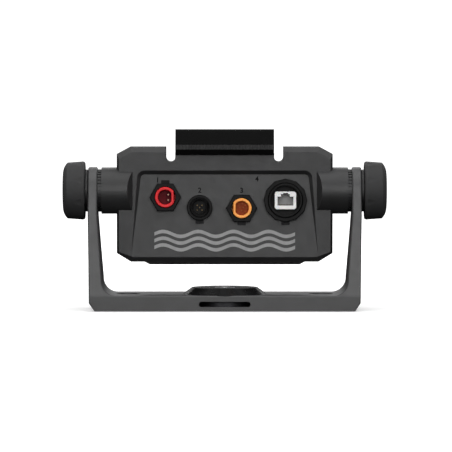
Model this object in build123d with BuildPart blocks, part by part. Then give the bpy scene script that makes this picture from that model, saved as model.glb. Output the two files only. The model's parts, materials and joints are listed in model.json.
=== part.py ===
from build123d import *

import os
from math import cos, radians, sin, tan

# Quick-release bail mount for a chartplotter: swivel base, bail, tilting cradle, latch and knobs.
# Millimetres, +Z up, origin at the centre of the base underside. The connector side faces -Y, a
# docked display sits on the +Y side, and the cradle tilts about an axis along X.

os.makedirs("parts", exist_ok=True)

# Widths that set the rest, from the middle outwards
cradle_half_width = 83.7
boss_proud = 11.9  # pivot bosses beyond the cradle's sides
tooth_disc_thickness = 2.8
knob_gap = 0.2
arm_end_thickness = 7.2

# Bail bracket
bail_half_width = cradle_half_width + boss_proud + tooth_disc_thickness + knob_gap + arm_end_thickness
arm_lean = 1.2  # the arms stand closer together at the bar
bail_edge_chamfer = 0.8
bail_underside = 0.5  # gap that lets the bail turn over the dash
bar_top = 12.4
bar_half_depth = 32.5
arm_base_thickness = 11.0
arm_end_radius = 18.3
arm_foot_fillet = 11.0
corner_chamfer = (4.2, 6.2)  # outer bottom corners, along X and along Z
pivot_z = 92.6
hub_foot_radius = 32.4
hub_top_radius = 25.5
hub_height = 5.0
front_slot = (39.6, 4.15)  # window on the base disc, width and height
front_slot_z = 5.8
fixing_hole_spacing = 149.6
fixing_hole_radius = 2.75
fixing_recess_radius = 9.5
fixing_recess_depth = 1.5

# Swivel base
pad_thickness = 0.8
base_radius = 26.5
base_top = 8.0
base_screw_circle = 40.0
base_screw_radius = 2.2
base_screw_head_radius = 4.3
washer_thickness = 0.8
bolt_radius = 4.0
bolt_head_radius = 8.0
hex_key = 6.0

# Clamp knobs and pivots
knob_radius = 22.65
knob_length = 17.2
knob_shoulder = 3.5  # from the knob's end to where its edge starts to round over
knob_face_radius = 13.3  # flat part of its end
grip_count = 8
grip_radius = 14.0
grip_depth = 0.5
collar_radius = 16.35
collar_thickness = 2.1
stud_radius = 4.0
stud_reach = 24.0  # from the knob's inner face towards the cradle
bush_wall = 2.0
tooth_disc_radius = 16.5
tooth_count = 36

# Cradle
cradle_bottom = pivot_z - 55.1
cradle_top = pivot_z + 34
cradle_top_cut = (10.2, 5.5)
cradle_bottom_cut = (11.0, 6.7)
shell_back = -10.1
shell_front = 18.6
back_chamfer = (1.75, 4.0, 3.8)  # at the sides, the top and the bottom
back_chamfer_depth = 3.4
plate_thickness = 5.4
side_wall = 15.7  # beside the cavity, thick enough for the pivot bosses' wells
cavity_half_width = cradle_half_width - side_wall
cavity_bottom = pivot_z - 50.6
cavity_top = pivot_z + 15.9
boss_radius = 18.05
boss_inner_end = cradle_half_width - 12.4
boss_end_slant = 27.0
slot_x = 42.0
slot_width = 7.3
slot_bottom = pivot_z + 22.4

# Sloping connector panel
panel_angle = 2.6
panel_low_z = pivot_z - 51.3  # where the panel meets the shell's back
panel_top_z = pivot_z + 12.6
panel_half_width = cradle_half_width - 19.0  # at its top
panel_foot_half_width = cradle_half_width - 11.2
panel_wall = 3.0
panel_corner_radius = 3.0
panel_draft = 45.0
panel_cut_height = 6.0

# Rear sockets: centre, barrel and bore radii, side of the keying flat, stand-out from the panel,
# nut size (over its flats, or over its diameter where it is round), pin and insert radii
ports = {
    "power": {"x": -46.0, "z": pivot_z - 5.1, "barrel": 7.9, "bore": 5.7, "flat": 1, "proud": 6.0,
              "nut": 21.3, "nut_sides": 6, "pin": 0.6, "insert": 5.6},
    "bus": {"x": -19.4, "z": pivot_z - 13.1, "barrel": 7.3, "bore": 6.2, "flat": 1, "proud": 4.6,
            "nut": 19.7, "nut_sides": 0, "pin": 0.5, "insert": 4.6},
    "sonar": {"x": 13.1, "z": pivot_z - 13.6, "barrel": 7.7, "bore": 5.6, "flat": -1, "proud": 6.0,
              "nut": 21.0, "nut_sides": 6, "pin": 0.5, "insert": 5.5},
    "network": {"x": 47.0, "z": pivot_z - 7.5, "barrel": 13.2, "bore": 11.3, "flat": 0, "proud": 5.4,
                "nut": 32.6, "nut_sides": 12, "pin": 0.4},
}
flat_share = 0.83  # of the radius, from the centre to the keying flat
nut_thickness = 3.6
socket_depth = 8.0
insert_recess = 4.4  # from a socket's rim to the insert that holds its pins
pin_setback = 1.5  # from a socket's rim to its pin tips
power_pin_well = (3.2, 7.6)
flange_thickness = 2.0
flange_rim = 2.2
seal_thickness = 1.2
tab_washer_thickness = 0.8
jack_size = (16.5, 13.6)
jack_corner = 1.9
jack_setback = 0.8  # from the socket's rim
jack_depth = 11.0
jack_front = 1.2  # white lip in front of the liner
jack_liner_wall = 0.7
jack_opening = {"width": 12.3, "low": -4.0, "high": 2.9}
jack_notch = {"width": 6.8, "low": 2.8, "high": 4.9}
jack_latch_slot = {"width": 4.0, "low": 4.8, "high": 5.7}
jack_contact_pitch = 1.2

# Docking side
lip_half_width = cradle_half_width - 16.9
lip_end_half_width = lip_half_width - 8.3
lip_bottom = pivot_z - 58.4
lip_front = 36.0
lip_wall = 3.5
lip_top = pivot_z - 46.6
dock_size = (96.0, 20.0)
dock_z = pivot_z - 22.6
dock_proud = 3.0
dock_pins = (13, 2)
dock_pin_pitch = 6.0
ribbon_low_z = pivot_z - 32.6
ribbon_thickness = 0.6
board_thickness = 1.6
board_size = (2 * (cavity_half_width - 3), 56.0)
board_middle = 34.7  # up the panel from its lower end

# Latch
latch_half_width = 38.2
latch_axis_y = 6.0
latch_axis_z = pivot_z + 24.4
latch_barrel_radius = 3.8
latch_pin_radius = 1.5
knuckle_x = 23.0
knuckle_width = 7.0
latch_top = pivot_z + 47.5
spring_pitch = 0.94
spring_turns = 9
spring_radius = 2.7
spring_wire_radius = 0.5
spring_leg_reach = 5.3
grip_strip_thickness = 1.0
grip_strip_height = 3.6
grip_rib_pitch = 2.9
grip_rib_height = 0.5

# Fits
running_fit = 0.05  # a shaft in its bore, on the radius
slip_fit = 0.15  # a piece that drops into its seat
turn_gap = 0.2  # flat faces that turn past each other
move_gap = 0.35  # round a moving piece

plate_front = shell_front + plate_thickness
sides = {"left": -1, "right": 1}


def save(piece, name):
    piece.label = name
    export_step(piece, f"parts/{name}.step")


def facing_back(y, x=0.0, z=0.0):
    """A plane at y whose sketches read X to the right and Z up, and whose extrusions go to -Y."""
    return Plane(origin=(x, y, z), x_dir=(1, 0, 0), z_dir=(0, -1, 0))


def outward(side, x):
    """A plane on the pivot axis, at distance x from the middle, facing away from the cradle."""
    return Plane(origin=(side * x, 0, pivot_z), x_dir=(0, side, 0), z_dir=(side, 0, 0))


# ---- Swivel base: pad, disc, insert and bolt ----

seat_radius = base_radius + turn_gap  # recess in the bail's underside
seat_top = base_top + turn_gap + washer_thickness
hub_top_z = bar_top + hub_height
insert_radius = bolt_radius + 2.5
bolt_head_height = bolt_head_radius - bolt_radius
bolt_bore_radius = bolt_radius + running_fit


def make_swivel_base():
    with BuildPart() as pad:
        with BuildSketch():
            Circle(base_radius - 1)
            Circle(insert_radius + 1, mode=Mode.SUBTRACT)
            with PolarLocations(base_screw_circle / 2, 4, start_angle=45):
                Circle(base_screw_radius, mode=Mode.SUBTRACT)
        extrude(amount=pad_thickness)
    save(pad.part, "base_pad")

    with BuildPart() as disc:
        with BuildSketch(Plane.XY.offset(pad_thickness)):
            Circle(base_radius)
        extrude(amount=base_top - pad_thickness)
        chamfer(disc.edges().group_by(Axis.Z)[-1], 0.8)
        with Locations((0, 0, pad_thickness)):
            Cylinder(insert_radius, base_top, align=(Align.CENTER, Align.CENTER, Align.MIN),
                     mode=Mode.SUBTRACT)
        with Locations((0, 0, base_top)), PolarLocations(base_screw_circle / 2, 4, start_angle=45):
            CounterSinkHole(base_screw_radius, base_screw_head_radius)
    save(disc.part, "swivel_base")

    with BuildPart() as insert:
        with BuildSketch(Plane.XY.offset(pad_thickness)):
            Circle(insert_radius)
            Circle(bolt_radius, mode=Mode.SUBTRACT)
        extrude(amount=base_top - pad_thickness)
    save(insert.part, "base_insert")

    with BuildPart() as bolt:
        with BuildSketch(Plane.XZ):
            with BuildLine():
                Polyline(
                    (0, pad_thickness),
                    (bolt_radius, pad_thickness),
                    (bolt_radius, hub_top_z - bolt_head_height),
                    (bolt_head_radius, hub_top_z),
                    (0, hub_top_z),
                    close=True,
                )
            make_face()
        revolve(axis=Axis.Z)
        with BuildSketch(Plane.XY.offset(hub_top_z)):
            RegularPolygon(hex_key / 2, 6, major_radius=False)
        extrude(amount=-4, mode=Mode.SUBTRACT)
    save(bolt.part, "swivel_bolt")


def make_swivel_washer():
    with BuildPart() as washer:
        with BuildSketch(Plane.XY.offset(base_top + turn_gap)):
            Circle(base_radius - 1.5)
            Circle(bolt_radius + move_gap, mode=Mode.SUBTRACT)
            with PolarLocations(base_screw_circle / 2, 4, start_angle=45):
                Circle(base_screw_head_radius, mode=Mode.SUBTRACT)
        extrude(amount=washer_thickness)
    save(washer.part, "swivel_washer")


# ---- Bail ----

arm_inner_base = bail_half_width - arm_base_thickness
arm_inner_end = bail_half_width - arm_end_thickness
bush_bore = stud_radius + running_fit
bush_radius = bush_bore + bush_wall


def make_bail_bracket():
    foot_end_z = bar_top + arm_foot_fillet + 1
    with BuildPart() as bail:
        with BuildSketch(Plane.XZ) as front:
            with BuildLine():
                Polyline(
                    (0, bail_underside),
                    (bail_half_width - arm_lean - corner_chamfer[0], bail_underside),
                    (bail_half_width - arm_lean, bail_underside + corner_chamfer[1]),
                    (bail_half_width, pivot_z - arm_end_radius),
                    (bail_half_width, pivot_z + arm_end_radius),
                    (arm_inner_end, pivot_z + arm_end_radius),
                    (arm_inner_end, pivot_z - arm_end_radius),
                    (arm_inner_base, foot_end_z),
                    (arm_inner_base, bar_top),
                    (0, bar_top),
                    close=True,
                )
            make_face()
            mirror(about=Plane.YZ)
            inner_corners = front.vertices().filter_by_position(
                Axis.Y, bar_top - 0.1, bar_top + 0.1
            ).sort_by(Axis.X)
            fillet([inner_corners[0], inner_corners[-1]], arm_foot_fillet)
        extrude(amount=bar_half_depth + 1, both=True)
        with BuildSketch(Plane.YZ):
            with Locations((0, bar_top / 2)):
                Rectangle(2 * bar_half_depth, bar_top)
            with Locations((0, pivot_z)):
                Circle(arm_end_radius)
            make_hull()
        extrude(amount=bail_half_width + 1, both=True, mode=Mode.INTERSECT)
        outline_edges = [
            edge for edge in bail.edges()
            if edge.geom_type == GeomType.CIRCLE or (abs(edge.center().Y) > 1 and edge.center().Z > 1)
        ]
        chamfer(outline_edges, bail_edge_chamfer)
        with Locations((0, 0, bail_underside)):
            Cylinder(seat_radius, seat_top - bail_underside, mode=Mode.SUBTRACT,
                     align=(Align.CENTER, Align.CENTER, Align.MIN))
        Cylinder(bolt_bore_radius, 3 * bar_top, mode=Mode.SUBTRACT)
        with BuildSketch(facing_back(-base_radius / 2)):
            with Locations((0, front_slot_z)):
                RectangleRounded(*front_slot, front_slot[1] / 2 - 0.2)
        extrude(amount=bar_half_depth, mode=Mode.SUBTRACT)
        with Locations((0, 0, bar_top)), GridLocations(fixing_hole_spacing, 1, 2, 1):
            CounterBoreHole(fixing_hole_radius, fixing_recess_radius, fixing_recess_depth)
        for side in sides.values():
            with BuildSketch(outward(side, arm_inner_end - 1)):
                Circle(bush_radius)
            extrude(amount=arm_end_thickness + 2, mode=Mode.SUBTRACT)
    save(bail.part, "bail_bracket")


def make_hub_cover():
    with BuildPart() as hub:
        with Locations((0, 0, bar_top)):
            Cone(hub_foot_radius, hub_top_radius, hub_height,
                 align=(Align.CENTER, Align.CENTER, Align.MIN))
        with Locations((0, 0, hub_top_z)):
            CounterSinkHole(bolt_bore_radius, bolt_head_radius + turn_gap, depth=hub_height)
    save(hub.part, "hub_cover")


def make_arm_bush(side, name):
    with BuildPart() as bush:
        with BuildSketch(outward(side, arm_inner_end)):
            Circle(bush_radius)
            Circle(bush_bore, mode=Mode.SUBTRACT)
        extrude(amount=arm_end_thickness)
    save(bush.part, f"{name}_arm_bush")


# ---- Clamp knobs ----

collar_x = bail_half_width + knob_gap
knob_x = collar_x + collar_thickness + knob_gap
knob_end_x = knob_x + knob_length
cap_radius = 9.0
cap_thickness = 1.6
hub_socket_radius = 7.0  # brass boss that the knob is moulded round
grip_turn = 180 / grip_count


def make_collar(side, name):
    with BuildPart() as collar:
        with BuildSketch(outward(side, collar_x)):
            Circle(collar_radius)
            Circle(stud_radius + running_fit, mode=Mode.SUBTRACT)
        extrude(amount=collar_thickness)
        chamfer(collar.edges().filter_by(GeomType.CIRCLE).sort_by(SortBy.RADIUS)[-2:], 0.4)
    save(collar.part, f"{name}_collar")


def make_knob(side, name):
    shoulder_x = knob_length - knob_shoulder
    rounding = knob_radius - knob_face_radius
    with BuildPart() as knob:
        profile_plane = Plane(origin=(side * knob_x, 0, pivot_z), x_dir=(side, 0, 0), z_dir=(0, -1, 0))
        with BuildSketch(profile_plane):
            with BuildLine():
                Polyline((knob_length, knob_face_radius), (knob_length, 0), (0, 0), (0, knob_radius - 1.0),
                         (0.6, knob_radius - 0.3), (1.6, knob_radius), (shoulder_x, knob_radius - 0.9))
                ThreePointArc(
                    (shoulder_x, knob_radius - 0.9),
                    (knob_length - knob_shoulder * 0.32, knob_radius - rounding * 0.45),
                    (knob_length, knob_face_radius),
                )
            make_face()
        revolve(axis=Axis((0, 0, pivot_z), (1, 0, 0)))
        with BuildSketch(outward(side, knob_x + 2.5)):
            with PolarLocations(knob_radius + grip_radius - grip_depth, grip_count, start_angle=grip_turn):
                Circle(grip_radius)
        extrude(amount=knob_length, mode=Mode.SUBTRACT)
        with BuildSketch(outward(side, knob_end_x)):
            Circle(cap_radius + slip_fit)
        extrude(amount=-cap_thickness, mode=Mode.SUBTRACT)
        with BuildSketch(outward(side, knob_x)):
            Circle(hub_socket_radius)
        extrude(amount=knob_length - cap_thickness - 3, mode=Mode.SUBTRACT)
    save(knob.part, f"{name}_knob")

    with BuildPart() as cap:
        with BuildSketch(outward(side, knob_end_x - cap_thickness)):
            Circle(cap_radius)
        extrude(amount=cap_thickness - 0.2)
        chamfer(cap.faces().sort_by(Axis.X)[-1 if side > 0 else 0].edges(), 0.4)
    save(cap.part, f"{name}_knob_cap")

    with BuildPart() as boss:
        with BuildSketch(outward(side, knob_x)):
            Circle(hub_socket_radius)
            Circle(stud_radius, mode=Mode.SUBTRACT)
        extrude(amount=knob_length - cap_thickness - 3)
    save(boss.part, f"{name}_knob_core")

    with BuildPart() as stud:
        with BuildSketch(outward(side, knob_x - stud_reach)):
            Circle(stud_radius)
        extrude(amount=stud_reach + knob_length - cap_thickness - 3)
        chamfer(stud.faces().sort_by(Axis.X)[0 if side > 0 else -1].edges(), 0.8)
    save(stud.part, f"{name}_knob_stud")


# ---- Toothed discs ----

tooth_disc_x = arm_inner_end - knob_gap - tooth_disc_thickness


def make_tooth_disc(side, name):
    with BuildPart() as disc:
        with BuildSketch(outward(side, tooth_disc_x)):
            Circle(tooth_disc_radius)
            with PolarLocations(tooth_disc_radius, tooth_count):
                Rectangle(1.6, 1.4, mode=Mode.SUBTRACT)
            Circle(stud_radius + slip_fit, mode=Mode.SUBTRACT)
        extrude(amount=tooth_disc_thickness)
    save(disc.part, f"{name}_tooth_disc")


# ---- Cradle shell ----

boss_end = tooth_disc_x
boss_insert_radius = 7.0
boss_insert_length = 15.0
stud_well_end = cradle_half_width - 6.7
top_slope = cradle_top_cut[1] / cradle_top_cut[0]
bottom_slope = cradle_bottom_cut[1] / cradle_bottom_cut[0]
tongue_half_width = slot_x - slot_width / 2
tongue_wall = 3.0
tongue_top = pivot_z + 29.4
trough_floor = pivot_z + 19.9
plate_screw_inset = 8.2  # from the cradle's side
plate_screw_x = cradle_half_width - plate_screw_inset
plate_screws = [(plate_screw_x, pivot_z - 42.6), (plate_screw_x, pivot_z + 24.9), (54.0, pivot_z + 24.9)]
plate_screw_radius = 1.5
plate_screw_length = 14.0
board_depth = 12.0  # from the panel's outside to the board's near face
board_screw_radius = 1.25
board_post_radius = 3.2
board_post_x = cavity_half_width - 7
board_posts = [(board_post_x, 10.7), (board_post_x, 58.7)]


def on_panel(height):
    """A plane parallel to the sloping panel, at a height outside it; its Y runs up the panel."""
    slope = radians(panel_angle)
    normal = (0, -cos(slope), sin(slope))
    return Plane(
        origin=(0, shell_back + height * normal[1], panel_low_z + height * normal[2]),
        x_dir=(1, 0, 0),
        z_dir=normal,
    )


def up_panel(z):
    return (z - panel_low_z) / cos(radians(panel_angle))


def cradle_outline(side=0, top=0, bottom=0, corner=0):
    """The cradle seen from behind, drawn in by a distance at its sides, top, bottom and corners."""
    half = cradle_half_width - side
    top_x = cradle_half_width - cradle_top_cut[0] - corner
    low_x = cradle_half_width - cradle_bottom_cut[0] - corner
    top_z = cradle_top - top
    low_z = cradle_bottom + bottom
    right = [
        (low_x, low_z),
        (half, cradle_bottom + cradle_bottom_cut[1] + side * bottom_slope),
        (half, top_z - (half - top_x) * top_slope),
        (top_x, top_z),
    ]
    return right + [(-x, z) for x, z in reversed(right)]


def make_barrel(side):
    """A boss with its inner end cut to a slant, so that it dies into the shell's back."""
    with BuildPart() as barrel:
        with BuildSketch(outward(side, cavity_half_width - boss_radius)):
            Circle(boss_radius)
        extrude(amount=boss_end - cavity_half_width + boss_radius)
        slant = radians(boss_end_slant)
        keep_side = Plane(
            origin=(side * boss_inner_end, shell_back, pivot_z),
            z_dir=(side * cos(slant), sin(slant), 0),
        )
        split(bisect_by=keep_side, keep=Keep.TOP)
    return barrel.part


def make_cavity():
    with BuildPart() as cavity:
        with BuildSketch(facing_back(shell_front)):
            with Locations((0, (cavity_bottom + cavity_top) / 2)):
                RectangleRounded(2 * cavity_half_width, cavity_top - cavity_bottom, 4)
        extrude(amount=shell_front - shell_back)
        split(bisect_by=on_panel(-panel_wall), keep=Keep.BOTTOM)
    return cavity.part


def make_slots():
    """Solids that cut the two open U-slots through the shell and the docking plate."""
    with BuildPart() as slots:
        with BuildSketch(facing_back(plate_front + 1)):
            for side in sides.values():
                with Locations((side * slot_x, slot_bottom + slot_width / 2)):
                    Circle(slot_width / 2)
                    Rectangle(slot_width, cradle_top - slot_bottom, align=(Align.CENTER, Align.MIN))
        extrude(amount=plate_front - shell_back + 2)
    return slots.part


def make_cradle_shell():
    barrels = {side: make_barrel(side) for side in sides.values()}
    cavity = make_cavity()
    slots = make_slots()
    chamfer_y = shell_back + back_chamfer_depth
    side_in, top_in, bottom_in = back_chamfer
    with BuildPart() as shell:
        with BuildSketch(facing_back(shell_front)):
            with BuildLine():
                Polyline(*cradle_outline(), close=True)
            make_face()
        extrude(amount=shell_front - chamfer_y)
        with BuildSketch(facing_back(chamfer_y)):
            with BuildLine():
                Polyline(*cradle_outline(), close=True)
            make_face()
        with BuildSketch(facing_back(shell_back)):
            with BuildLine():
                Polyline(*cradle_outline(side_in, top_in, bottom_in, side_in), close=True)
            make_face()
        loft(ruled=True)
        for barrel in barrels.values():
            add(barrel)
        with BuildSketch(on_panel(0)) as recess:
            with BuildLine():
                Polyline(
                    (-panel_half_width, up_panel(panel_top_z)),
                    (panel_half_width, up_panel(panel_top_z)),
                    (panel_foot_half_width, -1),
                    (-panel_foot_half_width, -1),
                    close=True,
                )
            make_face()
            fillet(recess.vertices().group_by(Axis.Y)[-1], panel_corner_radius)
        extrude(amount=panel_cut_height, taper=-panel_draft, mode=Mode.SUBTRACT)
        add(cavity, mode=Mode.SUBTRACT)
        add(slots, mode=Mode.SUBTRACT)
        tongue_depth = shell_front - shell_back - tongue_wall
        with Locations((0, shell_front, trough_floor)):
            Box(2 * tongue_half_width + 1, tongue_depth, 30, mode=Mode.SUBTRACT,
                align=(Align.CENTER, Align.MAX, Align.MIN))
        with Locations((0, shell_front, tongue_top)):
            Box(2 * tongue_half_width + 1, shell_front - shell_back + 1, 30, mode=Mode.SUBTRACT,
                align=(Align.CENTER, Align.MAX, Align.MIN))
        for side in sides.values():
            with BuildSketch(Plane.YZ.offset(side * knuckle_x)):
                with Locations((latch_axis_y, latch_axis_z)):
                    Circle(latch_barrel_radius)
                    Rectangle(2 * latch_barrel_radius, latch_axis_z - trough_floor + 1,
                              align=(Align.CENTER, Align.MAX))
            extrude(amount=knuckle_width / 2, both=True)
            with BuildSketch(outward(side, boss_end)):
                Circle(boss_insert_radius)
            extrude(amount=-boss_insert_length, mode=Mode.SUBTRACT)
            with BuildSketch(outward(side, boss_end)):
                Circle(stud_radius + slip_fit)
            extrude(amount=stud_well_end - boss_end, mode=Mode.SUBTRACT)
        with BuildSketch(Plane.YZ):
            with Locations((latch_axis_y, latch_axis_z)):
                Circle(latch_pin_radius)
        extrude(amount=knuckle_x + knuckle_width, both=True, mode=Mode.SUBTRACT)
        for side in sides.values():
            with BuildSketch(facing_back(shell_front)):
                with Locations(*[(side * x, z) for x, z in plate_screws]):
                    Circle(plate_screw_radius)
            extrude(amount=plate_screw_length - plate_thickness + 1, mode=Mode.SUBTRACT)
            with BuildSketch(on_panel(-board_depth)):
                with Locations(*[(side * x, y) for x, y in board_posts]):
                    Circle(board_post_radius)
            extrude(amount=board_depth - panel_wall + 0.5)
            with BuildSketch(on_panel(-board_depth)):
                with Locations(*[(side * x, y) for x, y in board_posts]):
                    Circle(board_screw_radius)
            extrude(amount=6, mode=Mode.SUBTRACT)
        for port in ports.values():
            with BuildSketch(on_panel(0)):
                with Locations((port["x"], up_panel(port["z"]))):
                    Circle(port["barrel"] + slip_fit)
            extrude(amount=panel_wall + 1, both=True, mode=Mode.SUBTRACT)
    save(shell.part, "cradle_shell")


# ---- Rear sockets ----

socket_back = -(panel_wall + seal_thickness)  # where a socket's flange starts, behind the panel
flange_back = socket_back - flange_thickness
board_face = -board_depth


def ring_of(count, radius, turn=0.0):
    return [
        (radius * cos(radians(turn + 360 * i / count)), radius * sin(radians(turn + 360 * i / count)))
        for i in range(count)
    ]


pin_places = {
    "power": [(2.3, 2.1), (2.3, -2.1)],
    "bus": [(0.0, 0.0)] + ring_of(4, 2.6, 45),
    "sonar": ring_of(9, 3.7) + ring_of(3, 1.5, 30),
}


def port_centre(port):
    return (port["x"], up_panel(port["z"]))


def keyed_circle(radius, flat):
    """A disc with a keying flat on one side; no flat when the side is 0."""
    Circle(radius)
    if flat:
        with Locations((flat * radius * flat_share, 0)):
            Rectangle(radius, 3 * radius, mode=Mode.SUBTRACT,
                      align=(Align.MIN if flat > 0 else Align.MAX, Align.CENTER))


def extrude_disc(height, centre, radius, depth, flat=0, mode=Mode.ADD, inner=0.0):
    """A disc or ring on the panel, from a height outside it, along depth (inwards if negative)."""
    with BuildSketch(on_panel(height), mode=Mode.PRIVATE) as face:
        with Locations(centre):
            keyed_circle(radius, flat)
    with BuildSketch(on_panel(height), mode=Mode.PRIVATE) as hole:
        if inner:
            with Locations(centre):
                Circle(inner)
    profile = face.sketch - hole.sketch if inner else face.sketch
    extrude(to_extrude=profile, amount=depth, mode=mode)


def place_pins(height, centre, port, pins, depth, mode=Mode.ADD):
    with BuildSketch(on_panel(height), mode=Mode.PRIVATE) as rods:
        with Locations(*[(centre[0] + x, centre[1] + y) for x, y in pins]):
            Circle(port["pin"])
    extrude(to_extrude=rods.sketch, amount=depth, mode=mode)


def make_socket(name, port):
    centre = port_centre(port)
    pins = pin_places.get(name, [])
    floor = port["proud"] - socket_depth
    with BuildPart() as socket:
        extrude_disc(socket_back, centre, port["barrel"], port["proud"] - socket_back, port["flat"])
        extrude_disc(flange_back, centre, port["barrel"] + flange_rim, flange_thickness)
        extrude_disc(port["proud"], centre, port["bore"], -socket_depth, port["flat"], mode=Mode.SUBTRACT)
        if pins:
            place_pins(flange_back, centre, port, pins, socket_depth, mode=Mode.SUBTRACT)
        else:
            with BuildSketch(on_panel(floor)):
                with Locations(centre):
                    RectangleRounded(jack_size[0] + slip_fit, jack_size[1] + slip_fit, jack_corner)
            extrude(amount=flange_back - floor, mode=Mode.SUBTRACT)
        chamfer(socket.faces().sort_by(Axis.Y)[0].edges(), 0.4)
    save(socket.part, f"{name}_socket")

    if pins:
        with BuildPart() as contacts:
            place_pins(board_face, centre, port, pins, port["proud"] - pin_setback - board_face)
        save(contacts.part, f"{name}_pins")

        with BuildPart() as insert:
            flat = port["flat"] if port["insert"] > port["bore"] - 1 else 0
            extrude_disc(floor, centre, port["insert"], socket_depth - insert_recess, flat)
            place_pins(floor, centre, port, pins, socket_depth, mode=Mode.SUBTRACT)
            if name == "power":
                with BuildSketch(on_panel(port["proud"] - insert_recess)):
                    with Locations((centre[0] + pins[0][0], centre[1])):
                        RectangleRounded(*power_pin_well, 1.5)
                extrude(amount=insert_recess - socket_depth + 1, mode=Mode.SUBTRACT)
        save(insert.part, f"{name}_insert")

    with BuildPart() as seal:
        extrude_disc(socket_back, centre, port["barrel"] + flange_rim - 0.3, seal_thickness,
                     inner=port["barrel"] + 0.1)
    save(seal.part, f"{name}_seal")

    with BuildPart() as nut:
        with BuildSketch(on_panel(tab_washer_thickness)):
            with Locations(centre):
                if port["nut_sides"]:
                    RegularPolygon(port["nut"] / 2, port["nut_sides"], major_radius=False)
                else:
                    Circle(port["nut"] / 2)
                Circle(port["barrel"] + running_fit, mode=Mode.SUBTRACT)
        extrude(amount=nut_thickness)
        chamfer(nut.faces().sort_by(Axis.Y)[0].edges(), 0.5)
    save(nut.part, f"{name}_nut")


def make_tab_washers():
    """Thin washers under the nuts, each with a locking tab that lies on the panel."""
    with BuildPart() as washers:
        for name, port in ports.items():
            x, y = port_centre(port)
            up = 1 if name == "power" else -1
            reach = port["nut"] / 2 + 2.6
            with BuildSketch(on_panel(0)):
                with Locations((x, y)):
                    Circle(port["nut"] / 2 - 0.6)
                    Rectangle(6.4, reach, align=(Align.CENTER, Align.MIN if up > 0 else Align.MAX))
                    Circle(port["barrel"] + running_fit, mode=Mode.SUBTRACT)
            extrude(amount=tab_washer_thickness)
    save(washers.part, "tab_washers")


def jack_profile(centre, margin):
    """The stepped opening for a network plug, made larger all round by a margin."""
    x, y = centre
    for step in (jack_opening, jack_notch, jack_latch_slot):
        with Locations((x, y + step["low"] - margin)):
            Rectangle(step["width"] + 2 * margin, step["high"] - step["low"] + 2 * margin,
                      align=(Align.CENTER, Align.MIN))


def make_network_jack():
    port = ports["network"]
    x, y = port_centre(port)
    face = port["proud"] - jack_setback
    with BuildPart() as jack:
        with BuildSketch(on_panel(face)):
            with Locations((x, y)):
                RectangleRounded(*jack_size, jack_corner)
        extrude(amount=board_face - face)
        with BuildSketch(on_panel(face)):
            jack_profile((x, y), 0)
        extrude(amount=-jack_depth, mode=Mode.SUBTRACT)
        with BuildSketch(on_panel(face - jack_front)):
            jack_profile((x, y), jack_liner_wall)
        extrude(amount=jack_front - jack_depth, mode=Mode.SUBTRACT)
    save(jack.part, "network_jack")

    with BuildPart() as liner:
        with BuildSketch(on_panel(face - jack_front)):
            jack_profile((x, y), jack_liner_wall)
        extrude(amount=jack_front - jack_depth)
        with BuildSketch(on_panel(face - jack_front)):
            jack_profile((x, y), 0)
        extrude(amount=jack_front - jack_depth + jack_liner_wall, mode=Mode.SUBTRACT)
    save(liner.part, "network_liner")

    contact_low = y + jack_opening["low"] + 0.6
    with BuildPart() as contacts:
        with BuildSketch(on_panel(face - jack_depth + jack_liner_wall)):
            with Locations((x, contact_low)), GridLocations(jack_contact_pitch, 1, 8, 1):
                Rectangle(jack_contact_pitch / 2, 0.6)
        extrude(amount=jack_depth - jack_liner_wall - jack_front - 1)
    save(contacts.part, "network_contacts")


# ---- Junction board and docking side ----


def make_board():
    with BuildPart() as board:
        with BuildSketch(on_panel(board_face)):
            with Locations((0, board_middle)):
                Rectangle(*board_size)
            for side in sides.values():
                with Locations(*[(side * x, y) for x, y in board_posts]):
                    Circle(board_screw_radius, mode=Mode.SUBTRACT)
        extrude(amount=-board_thickness)
    save(board.part, "junction_board")

    with BuildPart() as screws:
        for side in sides.values():
            for plane, radius, depth in (
                (on_panel(board_face - board_thickness), board_screw_radius, board_thickness + 5),
                (on_panel(board_face - board_thickness), 2.4, -1.8),
            ):
                with BuildSketch(plane):
                    with Locations(*[(side * x, y) for x, y in board_posts]):
                        Circle(radius)
                extrude(amount=depth)
    save(screws.part, "board_screws")


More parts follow.
